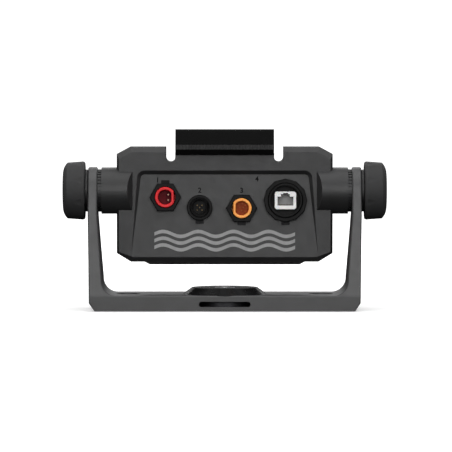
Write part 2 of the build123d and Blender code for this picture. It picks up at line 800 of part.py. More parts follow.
def make_docking_plate():
    groove_half = cavity_half_width + 2
    groove_low = cavity_bottom - 2
    groove_high = cavity_top + 2
    slots = make_slots()
    with BuildPart() as plate:
        with BuildSketch(facing_back(plate_front)):
            with BuildLine():
                Polyline(*cradle_outline(), close=True)
            make_face()
        extrude(amount=plate_thickness)
        chamfer(plate.faces().sort_by(Axis.Y)[-1].edges(), 1.2)
        with BuildSketch(facing_back(lip_front)):
            with BuildLine():
                Polyline(
                    (lip_end_half_width, lip_bottom),
                    (lip_half_width, cradle_bottom + 1),
                    (lip_half_width, lip_top),
                    (-lip_half_width, lip_top),
                    (-lip_half_width, cradle_bottom + 1),
                    (-lip_end_half_width, lip_bottom),
                    close=True,
                )
            make_face()
        extrude(amount=lip_front - shell_front - 0.6)
        with Locations((0, plate_front, lip_bottom + lip_wall)):
            Box(3 * lip_half_width, lip_front - plate_front - lip_wall, lip_top, mode=Mode.SUBTRACT,
                align=(Align.CENTER, Align.MIN, Align.MIN))
        add(slots, mode=Mode.SUBTRACT)
        with Locations((0, plate_front + 1, tongue_top)):
            Box(2 * tongue_half_width + 1, plate_thickness + 2, 30, mode=Mode.SUBTRACT,
                align=(Align.CENTER, Align.MAX, Align.MIN))
        with BuildSketch(facing_back(plate_front + 1)):
            with Locations((0, dock_z)):
                RectangleRounded(dock_size[0] + 2 * slip_fit, dock_size[1] + 2 * slip_fit, 4)
        extrude(amount=plate_thickness + 2, mode=Mode.SUBTRACT)
        with BuildSketch(facing_back(shell_front + 1.2)):
            with Locations((0, (groove_low + groove_high) / 2)):
                RectangleRounded(2 * groove_half + 2, groove_high - groove_low + 2, 6)
                RectangleRounded(2 * groove_half - 2, groove_high - groove_low - 2, 4,
                                 mode=Mode.SUBTRACT)
        extrude(amount=2, mode=Mode.SUBTRACT)
        for side in sides.values():
            with BuildSketch(facing_back(plate_front)):
                with Locations(*[(side * x, z) for x, z in plate_screws]):
                    Circle(plate_screw_radius + slip_fit)
            extrude(amount=plate_thickness, mode=Mode.SUBTRACT)
            with BuildSketch(facing_back(plate_front)):
                with Locations(*[(side * x, z) for x, z in plate_screws]):
                    Circle(3.0 + slip_fit)
            extrude(amount=2.2, mode=Mode.SUBTRACT)
    save(plate.part, "docking_plate")

    with BuildPart() as seal:
        with BuildSketch(facing_back(shell_front + 1.2)):
            with Locations((0, (groove_low + groove_high) / 2)):
                RectangleRounded(2 * groove_half + 2, groove_high - groove_low + 2, 6)
                RectangleRounded(2 * groove_half - 2, groove_high - groove_low - 2, 4,
                                 mode=Mode.SUBTRACT)
        extrude(amount=1.2)
    save(seal.part, "cradle_seal")

    with BuildPart() as screws:
        for side in sides.values():
            for plane, radius, depth in (
                (facing_back(plate_front - 0.2), 3.0, 2.0),
                (facing_back(plate_front - 2.2), plate_screw_radius, plate_screw_length - 2.2),
            ):
                with BuildSketch(plane):
                    with Locations(*[(side * x, z) for x, z in plate_screws]):
                        Circle(radius)
                extrude(amount=depth)
    save(screws.part, "plate_screws")


def make_dock_connector():
    block_back = shell_front - 3
    with BuildPart() as block:
        with BuildSketch(facing_back(plate_front + dock_proud)):
            with Locations((0, dock_z)):
                RectangleRounded(*dock_size, 4)
        extrude(amount=plate_front + dock_proud - block_back)
        with BuildSketch(facing_back(shell_front)):
            with Locations((0, dock_z)):
                RectangleRounded(dock_size[0] + 6, dock_size[1] + 6, 5)
        extrude(amount=shell_front - block_back)
        with BuildSketch(facing_back(plate_front + dock_proud)):
            with Locations((0, dock_z)):
                RectangleRounded(dock_size[0] - 6, dock_size[1] - 6, 2)
        extrude(amount=dock_proud + 2, mode=Mode.SUBTRACT)
        with BuildSketch(facing_back(plate_front)):
            with Locations((0, dock_z)), GridLocations(dock_pin_pitch, dock_pin_pitch, *dock_pins):
                Circle(1.0)
        extrude(amount=20, mode=Mode.SUBTRACT)
    save(block.part, "dock_connector")

    with BuildPart() as contacts:
        with BuildSketch(facing_back(plate_front + dock_proud - 0.6)):
            with Locations((0, dock_z)), GridLocations(dock_pin_pitch, dock_pin_pitch, *dock_pins):
                Circle(1.0)
        extrude(amount=plate_front + dock_proud - 0.6 - block_back + 0.9)
    save(contacts.part, "dock_contacts")

    tail_y = block_back - 0.9
    slope = radians(panel_angle)
    back_of_board = board_depth + board_thickness
    board_y = shell_back + back_of_board * cos(slope)
    board_y += (ribbon_low_z - panel_low_z + back_of_board * sin(slope)) * tan(slope)
    with BuildPart() as ribbon:
        with BuildSketch(Plane.YZ):
            with Locations((tail_y, ribbon_low_z)):
                Rectangle(ribbon_thickness, dock_z + dock_size[1] / 2 - 4 - ribbon_low_z,
                          align=(Align.MAX, Align.MIN))
            with Locations((board_y + 0.05, ribbon_low_z)):
                Rectangle(tail_y - board_y - 0.05, ribbon_thickness, align=(Align.MIN, Align.MIN))
        extrude(amount=dock_size[0] / 2 - 8, both=True)
    save(ribbon.part, "dock_ribbon")


# ---- Latch ----

grip_face_y = shell_back - 4.5
grip_low_z = pivot_z + 32.1
grip_half_length = latch_half_width - 0.6


def latch_profile():
    """The lever from its side, as (Y, Z): thumb pad at the back, hook over the docked display."""
    web = latch_barrel_radius
    return [
        (shell_back - 0.8, latch_axis_z + 3.4),
        (shell_back - 3.0, latch_axis_z + 3.4),
        (shell_back - 4.5, latch_axis_z + 7.4),
        (shell_back - 4.5, latch_axis_z + 11.5),
        (shell_back + 0.1, latch_top - 1.3),
        (shell_back + 1.5, latch_top),
        (8.0, latch_top),
        (plate_front + 3.5, latch_axis_z + 17.2),
        (plate_front + 3.5, latch_axis_z + 14.2),
        (plate_front + 0.4, latch_axis_z + 13.6),
        (latch_axis_y + web + 1, latch_axis_z + 16.4),
        (latch_axis_y + web, latch_axis_z),
        (latch_axis_y - web, latch_axis_z),
        (latch_axis_y - web, latch_axis_z + 10),
        (shell_back - 0.8, latch_axis_z + 11),
    ]


def make_latch():
    with BuildPart() as lever:
        with BuildSketch(Plane.YZ):
            with BuildLine():
                Polyline(*latch_profile(), close=True)
            make_face()
            with Locations((latch_axis_y, latch_axis_z)):
                Circle(latch_barrel_radius)
                Circle(latch_pin_radius + running_fit, mode=Mode.SUBTRACT)
        extrude(amount=latch_half_width, both=True)
        clear = latch_barrel_radius + move_gap
        for middle, width in ((-knuckle_x, knuckle_width), (knuckle_x, knuckle_width), (0, 12.0)):
            with BuildSketch(Plane.YZ.offset(middle)):
                with Locations((latch_axis_y, latch_axis_z - 5)):
                    Rectangle(2 * clear + 0.2, clear + 5 + 1.5, align=(Align.CENTER, Align.MIN))
            extrude(amount=width / 2 + move_gap, both=True, mode=Mode.SUBTRACT)
        with BuildSketch(Plane.YZ):
            with Locations((grip_face_y, grip_low_z)):
                Rectangle(grip_strip_thickness, grip_strip_height, align=(Align.MIN, Align.MIN))
        extrude(amount=grip_half_length, both=True, mode=Mode.SUBTRACT)
    save(lever.part, "latch_lever")

    with BuildPart() as grip:
        with BuildSketch(Plane.YZ):
            with Locations((grip_face_y, grip_low_z)):
                Rectangle(grip_strip_thickness, grip_strip_height, align=(Align.MIN, Align.MIN))
        extrude(amount=grip_half_length, both=True)
        rib_count = int(2 * grip_half_length / grip_rib_pitch)
        with Locations((0, grip_face_y, grip_low_z)), GridLocations(grip_rib_pitch, 1, rib_count, 1):
            Box(grip_rib_pitch / 2, grip_rib_height, grip_strip_height,
                align=(Align.CENTER, Align.MAX, Align.MIN))
    save(grip.part, "latch_grip")

    with BuildPart() as pin:
        with BuildSketch(Plane.YZ):
            with Locations((latch_axis_y, latch_axis_z)):
                Circle(latch_pin_radius)
        extrude(amount=latch_half_width - 0.5, both=True)
    save(pin.part, "latch_pin")


def make_latch_spring():
    """A close-wound torsion spring: its turns overlap a little, so that they make one solid."""
    end_x = (spring_turns - 1) * spring_pitch / 2
    leg_y = latch_axis_y + spring_radius + 0.1 * spring_wire_radius
    with BuildPart() as spring:
        with BuildSketch(Plane(origin=(0, latch_axis_y, latch_axis_z), z_dir=(0, -1, 0), x_dir=(1, 0, 0))):
            with Locations((0, spring_radius)), GridLocations(spring_pitch, 1, spring_turns, 1):
                Circle(spring_wire_radius)
        revolve(axis=Axis((0, latch_axis_y, latch_axis_z), (1, 0, 0)))
        for leg_x, reach in ((-end_x, trough_floor - latch_axis_z), (end_x, spring_leg_reach)):
            with BuildSketch(Plane.XY.offset(latch_axis_z)):
                with Locations((leg_x, leg_y)):
                    Circle(spring_wire_radius)
            extrude(amount=reach)
    save(spring.part, "latch_spring")


def make_boss_insert(side, name):
    with BuildPart() as insert:
        with BuildSketch(outward(side, boss_end - boss_insert_length)):
            Circle(boss_insert_radius)
            Circle(stud_radius + running_fit, mode=Mode.SUBTRACT)
        extrude(amount=boss_insert_length)
    save(insert.part, f"{name}_boss_insert")


make_swivel_base()
make_swivel_washer()
make_bail_bracket()
make_hub_cover()
for name, side in sides.items():
    make_arm_bush(side, name)
    make_collar(side, name)
    make_knob(side, name)
    make_tooth_disc(side, name)
    make_boss_insert(side, name)
make_cradle_shell()
for name, port in ports.items():
    make_socket(name, port)
make_tab_washers()
make_network_jack()
make_board()
make_docking_plate()
make_dock_connector()
make_latch()
make_latch_spring()
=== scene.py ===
# %% [markdown]
# # A quick-release mount for a chartplotter display
#
# The object is a bail mount: a U-shaped bracket on a swivel base, with a cradle that tilts between
# its arms. This script dresses the imported CAD model. It gives every moulding, metal and rubber part
# a surface of its own, and adds what a drawing leaves out, such as ribs, a spring and screw drives.

# %% Load the frame
import json
import math

import bpy
from mathutils import Matrix, Vector


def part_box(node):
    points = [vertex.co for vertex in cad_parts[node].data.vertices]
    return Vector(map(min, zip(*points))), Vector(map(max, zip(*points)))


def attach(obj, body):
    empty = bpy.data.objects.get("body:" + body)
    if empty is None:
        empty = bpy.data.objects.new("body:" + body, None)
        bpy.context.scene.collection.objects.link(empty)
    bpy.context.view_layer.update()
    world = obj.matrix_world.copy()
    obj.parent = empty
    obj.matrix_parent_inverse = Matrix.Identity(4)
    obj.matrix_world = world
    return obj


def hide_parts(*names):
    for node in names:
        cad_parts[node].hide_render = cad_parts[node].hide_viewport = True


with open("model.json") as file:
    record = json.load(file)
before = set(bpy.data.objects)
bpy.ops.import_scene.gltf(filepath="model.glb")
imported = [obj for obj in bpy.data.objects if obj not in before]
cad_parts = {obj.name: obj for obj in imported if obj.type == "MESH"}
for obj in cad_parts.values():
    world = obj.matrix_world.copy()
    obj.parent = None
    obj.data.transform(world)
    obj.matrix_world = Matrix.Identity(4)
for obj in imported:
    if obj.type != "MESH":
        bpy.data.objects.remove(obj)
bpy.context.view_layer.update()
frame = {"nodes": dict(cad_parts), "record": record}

nodes = frame["nodes"]
MM = 0.001
print(len(nodes), "CAD pieces, box in mm:")

# %% [markdown]
# ## Where things are
#
# Positions come from the frame, never from numbers typed in twice. A small class reads the box of
# one CAD piece and gives its corners, middle and size, which keeps the later cells short.


# %% Boxes of the CAD pieces
class Place:
    """The box of a CAD piece at rest: its two corners, middle and size, in metres."""

    def __init__(self, name):
        self.low, self.high = (Vector(corner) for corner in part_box(name))
        self.middle = (self.low + self.high) / 2
        self.size = self.high - self.low


latch = Place("latch_lever")
tilt_axis_z = Place("left_knob").middle.z
print("tilt axis at", round(tilt_axis_z / MM, 1), "mm")

# %% [markdown]
# ## Colours and a way to build materials
#
# A colour is easiest to choose as an sRGB hex value, but shaders work in linear light, so one
# function converts it. A material is a small graph of nodes. One helper adds a node, sets its
# options, and either links or sets each input, so that a material reads as a list of steps.


# %% Colour and node helpers
def linear(hex_colour):
    """A linear RGBA colour from an sRGB hex value such as "#464646"."""
    channels = [int(hex_colour[i:i + 2], 16) / 255 for i in (1, 3, 5)]
    curve = [c / 12.92 if c <= 0.04045 else ((c + 0.055) / 1.055) ** 2.4 for c in channels]
    return (*curve, 1.0)


def add_node(tree, kind, options=None, inputs=None):
    """Adds a node; an input given as a socket is linked, and any other value is set."""
    made = tree.nodes.new(kind)
    for name, value in (options or {}).items():
        setattr(made, name, value)
    for name, value in (inputs or {}).items():
        if isinstance(value, bpy.types.NodeSocket):
            tree.links.new(value, made.inputs[name])
        else:
            made.inputs[name].default_value = value
    return made


def new_material(name):
    """An empty node material with its output, and the object-space position that patterns read."""
    material = bpy.data.materials.new(name)
    material.use_nodes = True
    tree = material.node_tree
    tree.nodes.clear()
    output = add_node(tree, "ShaderNodeOutputMaterial")
    where = add_node(tree, "ShaderNodeTexCoord").outputs["Object"]
    return material, tree, output, where


def noise(tree, where, size_mm, detail=2.0, stretch=(1, 1, 1)):
    """Noise with blotches about size_mm across, drawn out along an axis where stretch is small."""
    placed = add_node(tree, "ShaderNodeMapping", inputs={"Vector": where, "Scale": stretch})
    made = add_node(tree, "ShaderNodeTexNoise", inputs={
        "Vector": placed.outputs["Vector"], "Scale": 1 / (size_mm * MM), "Detail": detail})
    return made.outputs["Fac"]


noise_low, noise_high = 0.3, 0.7  # nearly all of a noise value lies between these


def spread(tree, value, low, high):
    """Takes the useful middle of a noise value to the range low to high."""
    made = add_node(tree, "ShaderNodeMapRange", inputs={
        "Value": value, "From Min": noise_low, "From Max": noise_high,
        "To Min": low, "To Max": high})
    return made.outputs["Result"]


def colour_steps(tree, value, places, colours):
    """A ramp with two stops, each a place from 0 to 1 and an sRGB hex colour."""
    ramp = add_node(tree, "ShaderNodeValToRGB", inputs={"Fac": value})
    for stop, place, colour in zip(ramp.color_ramp.elements, places, colours):
        stop.position = place
        stop.color = linear(colour)
    return ramp.outputs["Color"]


def two_tone(tree, value, first, second):
    """A colour that drifts between two shades over the useful middle of a noise value."""
    return colour_steps(tree, value, (noise_low, noise_high), (first, second))


# %% [markdown]
# ## Moulded plastics
#
# Most of the mount is injection-moulded plastic. Its mould is spark-eroded, which leaves a fine
# even grain on the part: dull from straight ahead, yet bright when light grazes it. The grain is a
# noise bump, a slow drift of colour and gloss keeps large faces from looking like a flat fill, and
# the shader's own Fresnel does the grazing shine.


# %% Moulded plastic
def moulded_plastic(name, shades, gloss, grain_mm=0.5, grain_height_mm=0.02, specular=0.5):
    """A moulded surface: two close shades, a roughness range, and the grain's size and height."""
    material, tree, output, where = new_material(name)
    drift = noise(tree, where, 18)
    grain = noise(tree, where, grain_mm, detail=3)
    bump = add_node(tree, "ShaderNodeBump", inputs={
        "Height": grain, "Distance": grain_height_mm * MM, "Strength": 0.6})
    shader = add_node(tree, "ShaderNodeBsdfPrincipled", inputs={
        "Base Color": two_tone(tree, drift, *shades),
        "Roughness": spread(tree, noise(tree, where, 6), *gloss),
        "Specular IOR Level": specular,
        "Normal": bump.outputs["Normal"]})
    tree.links.new(shader.outputs["BSDF"], output.inputs["Surface"])
    print(name, "grain", grain_mm, "mm")
    return material


bail_nylon = moulded_plastic(
    "glass_filled_nylon", ("#393939", "#3d3d3e"), (0.42, 0.5), 0.6, 0.03)
shell_plastic = moulded_plastic(
    "textured_shell_plastic", ("#242424", "#282829"), (0.42, 0.5), 0.6, 0.03, 0.4)
knob_plastic = moulded_plastic(
    "soft_touch_knob", ("#303030", "#343435"), (0.6, 0.68), 0.5, 0.02, 0.2)
socket_plastic = moulded_plastic(
    "satin_socket_plastic", ("#060606", "#0a0a0a"), (0.4, 0.48), 0.4, 0.01, 0.1)
latch_plastic = moulded_plastic(
    "black_latch_plastic", ("#040404", "#060606"), (0.5, 0.58), 0.4, 0.01, 0.06)
hub_plastic = moulded_plastic(
    "glossy_hub_plastic", ("#101010", "#141415"), (0.2, 0.28), 0.4, 0.005, 0.35)
nylon = moulded_plastic(
    "plain_black_nylon", ("#1c1c1d", "#202021"), (0.45, 0.55), 0.5, 0.015)

# %% [markdown]
# ## Coloured mouldings
#
# The power and sonar sockets are colour-coded, and the network jack is a white insert. These parts
# come from polished moulds, so they are smoother and glossier than the shell, and light enters
# them a little before it comes back. A low subsurface weight gives that soft, waxy depth.


# %% Coloured plastic
def coloured_plastic(name, shades, roughness, subsurface=0.12, specular=0.5):
    """A polished, slightly translucent moulding with faint flow marks in its colour."""
    material, tree, output, where = new_material(name)
    flow = noise(tree, where, 4, stretch=(1, 1, 0.4))
    bump = add_node(tree, "ShaderNodeBump", inputs={
        "Height": noise(tree, where, 0.8), "Distance": 0.01 * MM, "Strength": 0.3})
    shader = add_node(tree, "ShaderNodeBsdfPrincipled", inputs={
        "Base Color": two_tone(tree, flow, *shades),
        "Roughness": spread(tree, noise(tree, where, 3), roughness - 0.04, roughness + 0.04),
        "Specular IOR Level": specular,
        "Subsurface Weight": subsurface,
        "Subsurface Scale": 0.6 * MM,
        "Normal": bump.outputs["Normal"]})
    tree.links.new(shader.outputs["BSDF"], output.inputs["Surface"])
    return material


power_red = coloured_plastic("red_socket_plastic", ("#cc1018", "#d61a22"), 0.45, 0.05, 0.3)
sonar_orange = coloured_plastic(
    "orange_socket_plastic", ("#f29a40", "#f8a54c"), 0.4, 0.08, 0.35)
jack_white = coloured_plastic("white_jack_plastic", ("#d6d6d6", "#dedede"), 0.3)
red_insert = coloured_plastic("dark_red_pin_insert", ("#4a0c14", "#54121a"), 0.6, 0.0, 0.08)
orange_insert = coloured_plastic("amber_brown_pin_insert", ("#86381a", "#924022"), 0.6, 0.0, 0.1)
# The liner's grey is lighter than the moulding's own colour: painted light that lifts it out of the
# shade deep in the jack.
jack_grey = coloured_plastic("lightened_grey_jack_liner", ("#8c8c8c", "#969696"), 0.5, 0.0)
print("six coloured plastics")

# %% [markdown]
# ## Rubber
#
# Seals, the base pad and the latch's grip are black synthetic rubber. It is very dull, with a dusty
# bloom where it has been handled, and its surface is slightly pitted from the mould.


# %% Rubber
def make_rubber(name, shades):
    """Dull rubber: a bloom of two close shades over fine pits."""
    material, tree, output, where = new_material(name)
    bloom = noise(tree, where, 7, detail=4)
    pits = add_node(tree, "ShaderNodeTexVoronoi", inputs={"Vector": where, "Scale": 1 / (0.7 * MM)})
    bump = add_node(tree, "ShaderNodeBump", inputs={
        "Height": pits.outputs["Distance"], "Distance": 0.03 * MM, "Strength": 0.5})
    shader = add_node(tree, "ShaderNodeBsdfPrincipled", inputs={
        "Base Color": two_tone(tree, bloom, *shades),
        "Roughness": spread(tree, bloom, 0.62, 0.78),
        "Normal": bump.outputs["Normal"]})
    tree.links.new(shader.outputs["BSDF"], output.inputs["Surface"])
    return material


rubber = make_rubber("black_moulded_rubber", ("#141414", "#1b1b1b"))
grip_rubber = make_rubber("soft_grip_rubber", ("#161617", "#1d1d1e"))
print("two rubbers")

# %% [markdown]
# ## Metals
#
# Screws, studs and the latch pin are stainless steel, turned on a lathe: fine rings run round each
# part, so its highlight is streaked. Inserts are brass and contacts are gold-flashed. All of them
# are one recipe: a metallic base with a tint, a roughness that varies along the tool marks, and the
# marks themselves as bump. The base disc is aluminium with a black anodised skin.


# %% Metal
def metal(name, shades, roughness, mark_mm=0.3, mark_axis="X"):
    """Machined metal: fine tool marks a real distance apart across one axis."""
    material, tree, output, where = new_material(name)
    stretch = tuple(1 if axis == mark_axis else 0.04 for axis in "XYZ")
    marks = noise(tree, where, mark_mm, detail=2, stretch=stretch)
    tarnish = noise(tree, where, 5)
    bump = add_node(tree, "ShaderNodeBump", inputs={
        "Height": marks, "Distance": 0.01 * MM, "Strength": 0.5})
    shader = add_node(tree, "ShaderNodeBsdfPrincipled", inputs={
        "Base Color": two_tone(tree, tarnish, *shades),
        "Metallic": 1.0,
        "Roughness": spread(tree, marks, roughness - 0.06, roughness + 0.06),
        "Normal": bump.outputs["Normal"]})
    tree.links.new(shader.outputs["BSDF"], output.inputs["Surface"])
    return material


stainless = metal("turned_stainless_steel", ("#b4b4b6", "#bcbcbd"), 0.3)
brass = metal("turned_brass", ("#b08a4a", "#bd9957"), 0.32)
gold_flash = metal("gold_flashed_contact", ("#d8b060", "#e2bd70"), 0.22, 0.2)
# These contacts' dark brownish colour is painted shade for the depth of their sockets, not tarnish.
dull_contact = metal("shade_darkened_contact", ("#4a4030", "#564a38"), 0.5)
amber_contact = metal("copper_toned_contact", ("#7a4424", "#8a5030"), 0.5)
red_contact = metal("tinned_pin", ("#8a6a5c", "#967668"), 0.45)
black_steel = metal("black_oxide_steel", ("#161616", "#1d1d1e"), 0.45)
anodised = metal("black_anodised_aluminium", ("#2c2c2e", "#323234"), 0.42, 0.25, "Y")
print("eight metals")

# %% [markdown]
# ## Board and ribbon
#
# The junction board is glass-epoxy under green solder resist, with copper tracks that show through
# as slightly raised, lighter lines. The ribbon is amber polyimide film over parallel conductors.
# Both are inside the cradle. Both patterns are stripes, and they are drawn 2 pi times as far apart
# as the real lines: about 16 mm for tracks 2.54 mm apart, and 8 mm for conductors 1.27 mm apart.


# %% Board and ribbon materials
wave_rate = 20  # radians of the wave in one unit of length, at a Scale of 1


def striped_film(name, base, line, pitch_mm, roughness):
    """A coated sheet whose buried conductors show as lines, coarser than their real pitch."""
    material, tree, output, where = new_material(name)
    wave = add_node(tree, "ShaderNodeTexWave", {"bands_direction": "X"}, {
        "Vector": where, "Scale": 1 / (pitch_mm * MM) / wave_rate, "Distortion": 0.0})
    print(name, "real pitch", pitch_mm, "mm, drawn every", round(math.tau * pitch_mm, 1), "mm")
    colour = colour_steps(tree, wave.outputs["Fac"], (0.45, 0.6), (base, line))
    bump = add_node(tree, "ShaderNodeBump", inputs={
        "Height": wave.outputs["Fac"], "Distance": 0.03 * MM, "Strength": 0.5})
    shader = add_node(tree, "ShaderNodeBsdfPrincipled", inputs={
        "Base Color": colour,
        "Roughness": spread(tree, noise(tree, where, 2), roughness - 0.05, roughness + 0.05),
        "Normal": bump.outputs["Normal"]})
    tree.links.new(shader.outputs["BSDF"], output.inputs["Surface"])
    return material


solder_resist = striped_film("green_solder_resist", "#0d3f24", "#1a5a37", 2.54, 0.3)
polyimide = striped_film("amber_polyimide_ribbon", "#8a5214", "#b9772a", 1.27, 0.28)

# %% [markdown]
# ## Dressing the CAD pieces
#
# A CAD piece whose shape is right only needs its surface. The record already names a material slot
# for every piece, so one table from slot to material dresses them all.

# %% Slot to material
dress = {
    "bail_metal": bail_nylon,
    "base_metal": anodised,
    "rubber": rubber,
    "brass": brass,
    "gold_contact": gold_flash,
    "steel": stainless,
    "nylon": nylon,
    "knob_plastic": knob_plastic,
    "shell_plastic": shell_plastic,
    "socket_plastic": socket_plastic,
    "latch_plastic": latch_plastic,
    "power_red": power_red,
    "sonar_orange": sonar_orange,
    "hub_plastic": hub_plastic,
    "power_insert": red_insert,
    "sonar_insert": orange_insert,
    "jack_white": jack_white,
    "jack_grey": jack_grey,
    "black_steel": black_steel,
    "circuit_board": solder_resist,
    "ribbon": polyimide,
}
slot_of = {part["node"]: part["material_slot"] for part in frame["record"]["subparts"]}
pin_metal = {
    "bus_pins": dull_contact,
    "sonar_pins": amber_contact,
    "power_pins": red_contact,
    "network_contacts": dull_contact,
}
for name, piece in nodes.items():
    piece.data.materials.clear()
    piece.data.materials.append(pin_metal.get(name, dress[slot_of[name]]))
print("dressed", len(nodes), "pieces")

# %% [markdown]
# ## Pieces that repeat
#
# Ribs, coils, screws and printed lines each repeat one small shape, which is what Geometry Nodes
# are for. Each tree is built here in the script, with its sizes as named inputs. A helper makes the
# tree, another sets its inputs by their identifiers and bakes the result to a plain mesh, so that
# the finished piece carries no modifier and exports like any other.


# %% Helpers for node trees
def start_tree(name, sizes):
    """A node tree with a geometry input and named float inputs, and those inputs' sockets."""
    tree = bpy.data.node_groups.new(name, "GeometryNodeTree")
    tree.interface.new_socket("Places", in_out="INPUT", socket_type="NodeSocketGeometry")
    tree.interface.new_socket("Geometry", in_out="OUTPUT", socket_type="NodeSocketGeometry")
    for label, value in sizes.items():
        made = tree.interface.new_socket(label, in_out="INPUT", socket_type="NodeSocketFloat")
        made.default_value = value
    sockets = add_node(tree, "NodeGroupInput").outputs
    return tree, {label: sockets[label] for label in ("Places", *sizes)}


def bake(name, tree, geometry, material, sizes, places=()):
    """Ends the tree, evaluates it on points at the places, and returns a plain mesh object."""
    real = add_node(tree, "GeometryNodeRealizeInstances", inputs={"Geometry": geometry})
    finish = add_node(tree, "GeometryNodeSetMaterial", inputs={
        "Geometry": real.outputs["Geometry"], "Material": material})
    end = tree.nodes.new("NodeGroupOutput")
    tree.links.new(finish.outputs["Geometry"], end.inputs["Geometry"])
    points = bpy.data.meshes.new(name + "_places")
    points.from_pydata([tuple(place) for place in places], [], [])
    maker = bpy.data.objects.new(name + "_maker", points)
    bpy.context.scene.collection.objects.link(maker)
    modifier = maker.modifiers.new("make", "NODES")
    modifier.node_group = tree
    for item in tree.interface.items_tree:
        if item.in_out == "INPUT" and item.name in sizes:
            modifier[item.identifier] = sizes[item.name]
    evaluated = maker.evaluated_get(bpy.context.evaluated_depsgraph_get())
    mesh = bpy.data.meshes.new_from_object(evaluated)
    bpy.data.objects.remove(maker)
    piece = bpy.data.objects.new(name, mesh)
    bpy.context.scene.collection.objects.link(piece)
    mesh.name = name
    print(name, len(mesh.polygons), "faces")
    return piece


def math_node(tree, operation, first, second=0.0):
    """The result of one sum, for two sockets or numbers."""
    made = add_node(tree, "ShaderNodeMath", {"operation": operation}, {0: first, 1: second})
    return made.outputs["Value"]


def vector(tree, x=0.0, y=0.0, z=0.0):
    """A vector socket from three sockets or numbers."""
    return add_node(tree, "ShaderNodeCombineXYZ", inputs={"X": x, "Y": y, "Z": z}).outputs["Vector"]


# %% [markdown]
# ## The latch's ribbed grip
#
# A thumb presses the latch along a soft strip with upright ribs. Each rib is a rounded bar,
# narrower at its tip, and the row is one rib placed on evenly spaced points. The strip behind them
# is a plain slab that fills its seat in the lever.

# %% Ribbed grip
grip = Place("latch_grip")
rib_pitch = 2.6 * MM
rib_depth = 0.5 * MM


def make_grip():
    """A row of upright ribs on a slab, in the box of the CAD grip."""
    sizes = {"Pitch": rib_pitch, "Rib width": 1.3 * MM, "Rib depth": rib_depth,
             "Height": grip.size.z}
    tree, size = start_tree("ribbed_grip", sizes)
    count = int(grip.size.x / rib_pitch)
    span = (count - 1) * rib_pitch
    line = add_node(tree, "GeometryNodeMeshLine", inputs={
        "Count": count, "Start Location": (grip.middle.x - span / 2, grip.low.y, grip.middle.z)})
    tree.links.new(vector(tree, x=size["Pitch"]), line.inputs["Offset"])
    width = math_node(tree, "DIVIDE", size["Rib width"], 2.0)
    bar = add_node(tree, "GeometryNodeMeshCylinder", inputs={
        "Vertices": 14, "Radius": 1.0, "Depth": 1.0})
    scale = vector(tree, width, size["Rib depth"], size["Height"])
    shape = add_node(tree, "GeometryNodeTransform", inputs={
        "Geometry": bar.outputs["Mesh"], "Translation": (0, rib_depth, 0), "Scale": scale})
    ribs = add_node(tree, "GeometryNodeInstanceOnPoints", inputs={
        "Points": line.outputs["Mesh"], "Instance": shape.outputs["Geometry"]})
    slab_depth = grip.size.y - rib_depth
    slab = add_node(tree, "GeometryNodeMeshCube", inputs={
        "Size": (grip.size.x, slab_depth, grip.size.z)})
    behind = add_node(tree, "GeometryNodeTransform", inputs={
        "Geometry": slab.outputs["Mesh"],
        "Translation": (grip.middle.x, grip.high.y - slab_depth / 2, grip.middle.z)})
    both = add_node(tree, "GeometryNodeJoinGeometry")
    tree.links.new(ribs.outputs["Instances"], both.inputs["Geometry"])
    tree.links.new(behind.outputs["Geometry"], both.inputs["Geometry"])
    return bake("ribbed_grip", tree, both.outputs["Geometry"], grip_rubber, sizes)


grip_piece = make_grip()
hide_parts("latch_grip")
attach(grip_piece, "latch")

# %% [markdown]
# ## The latch spring
#
# A torsion spring wound from round wire sits on the latch pin. It is a helix, which Blender has as
# a ready-made curve, swept with a round section. Its two legs are straight wires that leave the
# coil at a tangent: one stands on the cradle, the other pushes the lever.

# %% Torsion spring
spring_box = Place("latch_spring")
pin = Place("latch_pin")


def make_spring():
    """A closed coil round the latch pin, with a leg at each end."""
    sizes = {"Wire radius": 0.42 * MM, "Coil radius": 2.7 * MM, "Turns": 8.0, "Pitch": 0.94 * MM}
    tree, size = start_tree("torsion_spring", sizes)
    length = math_node(tree, "MULTIPLY", size["Turns"], size["Pitch"])
    coil = add_node(tree, "GeometryNodeCurveSpiral", inputs={
        "Resolution": 28, "Rotations": size["Turns"], "Start Radius": size["Coil radius"],
        "End Radius": size["Coil radius"], "Height": length})
    start_x = math_node(tree, "DIVIDE", length, -2.0)
    upright = add_node(tree, "GeometryNodeTransform", inputs={
        "Geometry": coil.outputs["Curve"], "Rotation": (0, 0, math.pi / 2)})
    along_x = add_node(tree, "GeometryNodeTransform", inputs={
        "Geometry": upright.outputs["Geometry"], "Rotation": (0, math.pi / 2, 0),
        "Translation": vector(tree, x=start_x)})
    wires = add_node(tree, "GeometryNodeJoinGeometry")
    tree.links.new(along_x.outputs["Geometry"], wires.inputs["Geometry"])
    end_x = math_node(tree, "DIVIDE", length, 2.0)
    reach_down = spring_box.low.z - pin.middle.z
    reach_up = spring_box.high.z - pin.middle.z
    for x, reach in ((start_x, reach_down), (end_x, reach_up)):
        leg = add_node(tree, "GeometryNodeCurvePrimitiveLine", inputs={
            "Start": vector(tree, x, size["Coil radius"]),
            "End": vector(tree, x, size["Coil radius"], reach)})
        tree.links.new(leg.outputs["Curve"], wires.inputs["Geometry"])
    section = add_node(tree, "GeometryNodeCurvePrimitiveCircle", inputs={
        "Resolution": 12, "Radius": size["Wire radius"]})
    sweep = add_node(tree, "GeometryNodeCurveToMesh", inputs={
        "Curve": wires.outputs["Geometry"], "Profile Curve": section.outputs["Curve"],
        "Fill Caps": True})
    placed = add_node(tree, "GeometryNodeTransform", inputs={
        "Geometry": sweep.outputs["Mesh"], "Translation": tuple(pin.middle)})
    return bake("torsion_spring", tree, placed.outputs["Geometry"], stainless, sizes)


spring_piece = make_spring()
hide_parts("latch_spring")
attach(spring_piece, "cradle")

